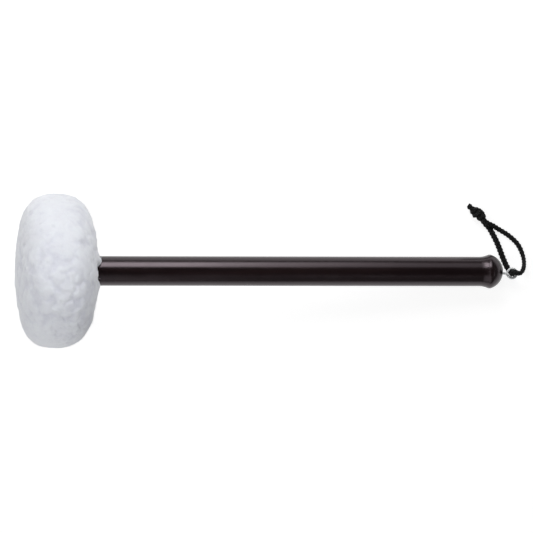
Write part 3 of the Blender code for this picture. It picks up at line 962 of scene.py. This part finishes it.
def headSection(inset, firstRadius, count):
    # halving finds the angle at which the outline has the first radius
    low, high = 0.0, math.pi / 2
    for _ in range(fleeceShape["halvings"]):
        middle = (low + high) / 2
        if headPoint(middle, inset)[1] < firstRadius:
            low = middle
        else:
            high = middle
    points = [headPoint(high + (math.pi - high) * i / count, inset) for i in range(count)]
    return points + [(-(mallet["headHalfDepth"] - inset), 0.0)]


def fleeceOutline():
    shape = fleeceShape
    hole = mallet["handleRadius"] + mallet["gap"]
    lip = shape["lipRadius"]
    foot = ((hole + lip) / mallet["headRadius"]) ** mallet["headSquareness"]
    base = mallet["headHalfDepth"] * (1 - foot) ** (1 / mallet["headSquareness"])
    base += shape["lipHeight"] - shape["lipSetback"]
    rounded = arcPoints(base, hole + lip, lip, -math.pi / 2, math.pi / 2, shape["lipSteps"])
    outer = headSection(0, hole + 2 * lip + shape["lipHeight"], shape["outerSteps"])
    inner = headSection(shape["thickness"], hole, shape["innerSteps"])[::-1]
    start, end, depth = shape["groove"]
    groove = [(start, hole), (start, hole + depth), (end, hole + depth), (end, hole)]
    return rounded + outer + inner + groove


def headShell(points):
    # distance from the mallet's axis, and depth in the head's section, which is 1 on its outline
    radius = np.hypot(points[:, 0], points[:, 1])
    shell = (radius / mallet["headRadius"]) ** mallet["headSquareness"]
    shell += (np.abs(points[:, 2]) / mallet["headHalfDepth"]) ** mallet["headSquareness"]
    return radius, shell


cellMixing = {
    "factors": np.array((73856093, 19349663, 83492791)),
    "saltFactor": 1013904223,
    "rounds": ((15, 2246822519), (13, 3266489917)),
    "lastShift": 16,
    "wordMask": 0xFFFFFFFF,
}


def cellValues(cells, salt):
    # a repeatable number from 0 to 1 for each whole-numbered cell
    mask = cellMixing["wordMask"]
    mixed = (cells @ cellMixing["factors"] + salt * cellMixing["saltFactor"]) & mask
    for shift, factor in cellMixing["rounds"]:
        mixed = ((mixed ^ (mixed >> shift)) * factor) & mask
    return (mixed ^ (mixed >> cellMixing["lastShift"])) / mask


def softNoise(points, size, salt):
    scaled = points / size
    cells = np.floor(scaled).astype(np.int64)
    part = scaled - cells
    part = part * part * (3 - 2 * part)
    total = np.zeros(len(points))
    for corner in itertools.product((0, 1), repeat=3):
        weight = np.prod(np.where(np.array(corner) == 1, part, 1 - part), axis=1)
        total += weight * cellValues(cells + np.array(corner), salt)
    return total * 2 - 1


def softShift(points, size, reach, salt):
    parts = [softNoise(points, size, salt + k) for k in range(3)]
    return points + np.stack(parts, axis=1) * reach


def puffs(points, size, sharpness, salt):
    # rounded tufts of pile that run into each other; a higher sharpness cuts deeper creases
    scaled = points / size
    cells = np.floor(scaled).astype(np.int64)
    total = np.zeros(len(points))
    for corner in itertools.product((-1, 0, 1), repeat=3):
        near = cells + np.array(corner)
        centre = near + np.stack([cellValues(near, salt + k) for k in range(3)], axis=1)
        level = fleeceShape["unevenness"] * cellValues(near, salt + 3)
        total += np.exp(sharpness * (level - np.sum((scaled - centre) ** 2, axis=1)))
    return np.log(total) / sharpness


def pileLayer(surface, patches, salt, size, least, added, shift):
    # a layer of puffs, shifted unevenly, that is more sharply cut in the patches
    return puffs(softShift(surface, *shift), size, least + added * patches, salt)


def neckFolds(surface):
    # the gathered pile bulges between creases, whose angles are from the top towards +Y
    shape = fleeceShape
    creases, heights = np.transpose(shape["neckFolds"])
    creases = np.radians(creases)
    size, salt, wander = shape["foldWander"]
    angle = np.arctan2(surface[:, 1], -surface[:, 0]) + softNoise(surface, size, salt) * wander
    angle = (angle - creases[0]) % math.tau
    edges = np.append(creases - creases[0], math.tau)
    side = np.clip(np.searchsorted(edges, angle, side="right") - 1, 0, len(creases) - 1)
    across = (angle - edges[side]) / (edges[1:] - edges[:-1])[side]
    bulge = np.sin(math.pi * across) ** shape["foldRoundness"]
    return heights[side] * bulge - shape["neckDepth"] * (1 - bulge)


def makeFleece():
    shape = fleeceShape
    spans = shape["spans"]
    fleece = spinProfile("fleeceHead", fleeceOutline(), shape["spinSteps"], closed=True)
    applyModifier(fleece, "REMESH", mode="VOXEL", voxel_size=shape["voxel"], adaptivity=0.0)
    points = readVectors(fleece.data.vertices, "co")
    normals = readVectors(fleece.data.vertex_normals, "vector")
    radius, shell = headShell(points)
    skin = fade(shell, *spans["skin"]) * fade(radius, *spans["lip"])
    outside = skin > shape["leastSkin"]

    surface = points[outside]
    across, station = surface[:, 1], surface[:, 2]
    nearNeck = fade(radius[outside], *spans["neckRadius"]) * fade(station, *spans["neckStation"])
    patches = fade(softNoise(surface, *shape["patches"]), *shape["patchFade"])
    ends = np.maximum(fade(across, *spans["plusEnd"]), fade(-across, *spans["minusEnd"]))
    uncombed = 1 - shape["combed"] * ends * fade(station, *spans["combedStation"])
    tufts = pileLayer(surface, patches, *shape["tufts"]) * uncombed
    locks = pileLayer(surface, 1 - patches, *shape["locks"]) * uncombed
    curls = puffs(surface, *shape["curls"])
    folds = neckFolds(surface)
    lumps = softNoise(surface, *shape["lumps"])
    fuzz = softNoise(surface, *shape["fuzz"])

    tuftCalm, lockCalm = shape["neckCalm"]
    height = tufts * shape["tuftDepth"] * (1 - tuftCalm * nearNeck)
    height += (locks * shape["lockDepth"] + curls * shape["curlDepth"]) * (1 - lockCalm * nearNeck)
    height += folds * nearNeck + lumps * shape["lumpDepth"] + fuzz * shape["fuzzDepth"]
    height -= np.mean(height) + shape["faceInset"] * fade(-station, *spans["face"])
    move = np.zeros(len(points))
    move[outside] = height * skin[outside]
    points += normals * move[:, None]
    world = points @ np.array(malletToWorld.to_3x3()).T + np.array(malletToWorld.translation)
    world[:, 2] = np.maximum(world[:, 2], 0)
    fleece.data.vertices.foreach_set("co", world.astype(np.float32).ravel())
    # painted shade: the relief's height sets how light the pile is painted, so its creases and neck
    # folds come out darker
    base, tuftShading, lockShading, curlShading, foldShading = shape["reliefShading"]
    reliefShading = np.full(len(points), 0.5)
    reliefShading[outside] = base + tuftShading * tufts + lockShading * locks + curlShading * curls
    reliefShading[outside] += foldShading * folds * nearNeck
    writePointValues(fleece, "reliefShading", np.clip(reliefShading, 0, 1))
    fleece.data.update()
    smoothFaces(fleece)
    print(f"fleece: pile raised on {len(surface)} points")
    return fleece


def pileLook(tree):
    shape = fleeceShape
    scales = {"Fibre Scale": 1300.0, "Patch Scale": 95.0}
    hair = useGroup(tree, fibreGroup, objectPlace(tree), scales)
    reliefShading = addNode(tree, "ShaderNodeAttribute", attribute_name="reliefShading").outputs["Fac"]
    # painted shade: low relief takes the darker crease colours, high relief the crown colours
    raised = addRange(tree, reliefShading, fromLow=0.0, fromHigh=0.6)
    crown = addMix(tree, hair["Patch"], *shape["crowns"])
    crease = addMix(tree, hair["Patch"], *shape["creases"])
    tips = addRange(tree, hair["Fibre"], 0.0, 1.0, 0.0, shape["tipShare"])
    return {
        "Base Color": addMix(tree, tips, addMix(tree, raised, crease, crown), shape["fibreTips"]),
        "Normal": addBump(tree, hair["Fibre"], *shape["relief"]),
        "Roughness": 0.95,
        "Specular IOR Level": 0.15,
        "Sheen Weight": 0.3,
        "Sheen Roughness": 0.6,
        "Subsurface Weight": 0.45,
        "Subsurface Radius": (1.0, 1.0, 1.0),
        "Subsurface Scale": 0.0011,
    }


fleeceHead = makeFleece()
pile = newMaterial("whitePile", pileLook)
finishPiece(fleeceHead, pile, "fleece", "mallet", "fleece_cover")


# Loose hairs that stand out of the pile and break up its outline
hairShape = {
    "count": 5200,
    "seed": 23,
    "length": (0.0016, 0.0042),
    "lift": (0.12, 0.5),
    "curl": 0.5,
    "droop": 0.45,
    "rootDepth": 0.0003,
    "radius": 0.00011,
    "tipRadius": 0.00001,
    "taperPower": 0.6,
    "rings": 5,
    "corners": 3,
    "skinFrom": 0.9,
    "neckClearance": 0.0145,
    "tableClearance": 0.002,
    "floorLift": 0.0001,
    "tints": ((0.74, 0.75, 0.80), (0.86, 0.87, 0.90)),
}


def makeHairs(fleece):
    shape = hairShape
    draws = np.random.default_rng(shape["seed"])
    centres = readVectors(fleece.data.polygons, "center")
    facing = readVectors(fleece.data.polygons, "normal")
    radius, shell = headShell((centres - np.array(headCentre)) @ np.array(malletToWorld.to_3x3()))
    usable = (shell > shape["skinFrom"]) & (radius > shape["neckClearance"])
    usable &= centres[:, 2] > shape["tableClearance"]
    roots = draws.choice(np.flatnonzero(usable), shape["count"], replace=False)
    normal = facing[roots]
    lean = np.cross(normal, draws.normal(size=(len(roots), 3)))
    lean /= np.linalg.norm(lean, axis=1)[:, None]
    length = draws.uniform(*shape["length"], len(roots))
    lift = draws.uniform(*shape["lift"], len(roots))
    curl = draws.uniform(-shape["curl"], shape["curl"], len(roots))
    curl = np.cross(normal, lean) * curl[:, None]
    rings, corners = shape["rings"], shape["corners"]
    points, faces = [], []
    for t in np.linspace(0, 1, rings):
        rise = lift * length * (t - shape["droop"] * t * t) - shape["rootDepth"]
        spine = centres[roots] + lean * (length * t)[:, None] + normal * rise[:, None]
        spine += curl * (length * t * t)[:, None]
        thick = shape["radius"] * (1 - t) ** shape["taperPower"] + shape["tipRadius"]
        for angle in np.arange(corners) / corners * math.tau:
            outward = math.cos(angle) * normal + math.sin(angle) * np.cross(lean, normal)
            points.append(spine + thick * outward)
    points = np.stack(points, axis=1)
    points[:, :, 2] = np.maximum(points[:, :, 2], shape["floorLift"])
    for root in range(len(roots)):
        first = root * rings * corners
        faces += tubeFaces(rings, corners, first)
        faces.append(tuple(range(first, first + corners))[::-1])
        tip = first + (rings - 1) * corners
        faces.append(tuple(range(tip, tip + corners)))
    hairs = newMesh("fleeceHairs", points.reshape(-1, 3).tolist(), faces)
    smoothFaces(hairs)
    return hairs


def hairLook(tree):
    tint = addRange(tree, addNoise(tree, objectPlace(tree), scale=240.0), 0.35, 0.65)
    return {
        "Base Color": addMix(tree, tint, *hairShape["tints"]),
        "Roughness": 0.8,
        "Specular IOR Level": 0.2,
        "Sheen Weight": 0.3,
    }


hairWhite = newMaterial("looseHair", hairLook)
finishPiece(makeHairs(fleeceHead), hairWhite, "fleece", "mallet")


# Pieces inside the head keep their CAD shape and get their finish
innerTints = {
    "felt": ((0.48, 0.46, 0.43), (0.60, 0.58, 0.55)),
    "wool": ((0.70, 0.69, 0.65), (0.84, 0.83, 0.80)),
    "steel": ((0.36, 0.36, 0.37), (0.27, 0.265, 0.26)),
    "thread": ((0.52, 0.51, 0.47), (0.74, 0.73, 0.70)),
}


def addWave(tree, place, values, **settings):
    node = addNode(tree, "ShaderNodeTexWave", **settings)
    setSockets(node, {"Vector": place, **values})
    return node.outputs["Fac"]


def feltLook(tree, dark, light):
    scales = {"Fibre Scale": 1700.0, "Patch Scale": 160.0}
    hair = useGroup(tree, fibreGroup, objectPlace(tree), scales)
    tips = addRange(tree, hair["Fibre"], 0, 1, toLow=0, toHigh=0.35)
    return {
        "Base Color": addMix(tree, tips, addMix(tree, hair["Patch"], dark, light), light),
        "Normal": addBump(tree, hair["Fibre"], distance=0.0002, strength=0.6),
        "Roughness": 0.95,
        "Sheen Weight": 0.3,
        "Sheen Roughness": 0.6,
    }


def steelLook(tree, light, dark):
    place = malletPlace(tree)
    worn = useGroup(tree, handlingGroup, place, {"Cloud Scale": 90.0, "Scratch Scale": 900.0})
    turning = {"wave_type": "RINGS", "rings_direction": "Z"}
    rings = addWave(tree, place, {"Scale": 900.0, "Distortion": 0.5}, **turning)
    return {
        "Base Color": addMix(tree, worn["Cloud"], light, dark),
        "Roughness": addRange(tree, worn["Cloud"], 0, 1, toLow=0.36, toHigh=0.52),
        "Normal": addBump(tree, rings, distance=0.00003, strength=0.4),
        "Metallic": 1.0,
    }


def threadLook(tree, dark, light):
    scales = {"Scale": 700.0, "Distortion": 1.0, "Detail": 2.0}
    twist = addWave(tree, malletPlace(tree), scales, wave_type="BANDS", bands_direction="DIAGONAL")
    return {
        "Base Color": addMix(tree, twist, dark, light),
        "Normal": addBump(tree, twist, distance=0.0001, strength=0.6),
        "Roughness": 0.6,
    }


def dress(material, *nodes):
    for node in nodes:
        piece = frame["nodes"][node]
        piece.data.materials.clear()
        piece.data.materials.append(material)


felt = newMaterial("pressedFelt", feltLook, *innerTints["felt"])
dress(felt, "front_felt_disc", "rear_felt_ring", "rim_felt_wrap")
dress(newMaterial("cardedWool", feltLook, *innerTints["wool"]), "wool_batting")
dress(newMaterial("turnedSteel", steelLook, *innerTints["steel"]), "head_core")
dress(newMaterial("waxedThread", threadLook, *innerTints["thread"]), "neck_drawstring")
dress(zinc, "core_screw", "core_washer")
print("inner pieces finished")


# Studio: white floor, strong light from beyond the head, and soft lights over the +Y side that
# fade towards the butt. The sky above the handle is dark, so that the lacquer stays dark.
studio = {
    "floorSize": 12,
    "floorDrop": 0.0002,
    "floorWhite": 0.92,
    "seenWhite": 0.30,
    "seenGlow": 0.84,
    "horizonLight": 0.14,
    "ceilingLight": 0.04,
    "ceilingEdge": (0.50, 0.93),
    "aimHeight": 0.03,
    "lights": {
        # name: angle off vertical, distance, place along X, size across, length along X, power
        "keySoftbox": (51, 0.75, 0.17, 0.47, 0.22, 1.22),
        "keySpread": (54, 0.85, 0.23, 0.80, 0.38, 1.28),
        "longSoftbox": (51, 0.80, 0.31, 0.50, 0.62, 0.76),
        "coveSoftbox": (47, 0.78, -0.02, 0.40, 0.24, 1.25),
        "glintStrip": (-26, 0.66, 1.22, 0.45, 0.13, 0.40),
        "mainSoftbox": (-6, 1.30, -0.90, 0.90, 0.80, 10.5),
        "fillSoftbox": (-55, 1.60, -0.50, 1.50, 1.60, 5.5),
        # turned towards the head, in a narrow beam
        "neckSpot": (-42, 0.90, 0.62, 0.20, 0.20, 0.055, 0.0, 28),
    },
}


def makeLight(name, angle, distance, along, across, length, power, aimAlong=None, spread=180):
    data = bpy.data.lights.new(name, "AREA")
    data.shape = "RECTANGLE"
    data.size, data.size_y = length, across
    data.energy = power
    data.spread = math.radians(spread)
    light = bpy.data.objects.new(name, data)
    turn = math.radians(angle)
    below = Vector((along, 0, studio["aimHeight"]))
    light.location = below + Vector((0, math.sin(turn), math.cos(turn))) * distance
    aim = below if aimAlong is None else Vector((aimAlong, 0, studio["aimHeight"]))
    light.rotation_euler = (aim - light.location).to_track_quat("-Z", "Y").to_euler()
    bpy.context.scene.collection.objects.link(light)


def floorLook(tree):
    # lights the object as white cloth would, and shows as plain white with the object's shadow
    rays = addNode(tree, "ShaderNodeLightPath").outputs
    seen = addMath(tree, "MAXIMUM", rays["Is Camera Ray"], rays["Is Glossy Ray"])
    seen = addMath(tree, "MAXIMUM", seen, rays["Is Transmission Ray"])
    glow = addNode(tree, "ShaderNodeEmission")
    setSockets(glow, {"Strength": addMath(tree, "MULTIPLY", seen, studio["seenGlow"])})
    both = addNode(tree, "ShaderNodeAddShader")
    setSockets(both, {0: tree.nodes["Principled BSDF"].outputs[0], 1: glow.outputs[0]})
    setSockets(tree.nodes["Material Output"], {"Surface": both.outputs[0]})
    white = addMix(tree, seen, (studio["floorWhite"],) * 3, (studio["seenWhite"],) * 3)
    return {"Base Color": white, "Roughness": 0.9, "Specular IOR Level": 0.0}


def makeFloor():
    deselectAll()
    bpy.ops.mesh.primitive_plane_add(size=studio["floorSize"], location=(0, 0, -studio["floorDrop"]))
    floor = bpy.context.object
    floor.name = "studioFloor"
    floor.data.materials.append(newMaterial("studioWhite", floorLook))


def makeWorld():
    world = bpy.data.worlds.new("studioWorld")
    bpy.context.scene.world = world
    world.use_nodes = True
    tree = world.node_tree
    parts = addNode(tree, "ShaderNodeSeparateXYZ")
    setSockets(parts, {0: addNode(tree, "ShaderNodeTexCoord").outputs["Generated"]})
    lights = (studio["horizonLight"], studio["ceilingLight"])
    sky = addRange(tree, parts.outputs["Z"], *studio["ceilingEdge"], *lights)
    rays = addNode(tree, "ShaderNodeLightPath").outputs
    level = addNode(tree, "ShaderNodeMix", data_type="FLOAT")
    setSockets(level, {0: rays["Is Camera Ray"], 2: sky, 3: 1.0})
    background = {"Strength": level.outputs[0], "Color": (1, 1, 1, 1)}
    setSockets(tree.nodes["Background"], background)


makeFloor()
makeWorld()
for name, values in studio["lights"].items():
    makeLight(name, *values)
bpy.context.scene.view_settings.view_transform = "Standard"
print("studio lit")
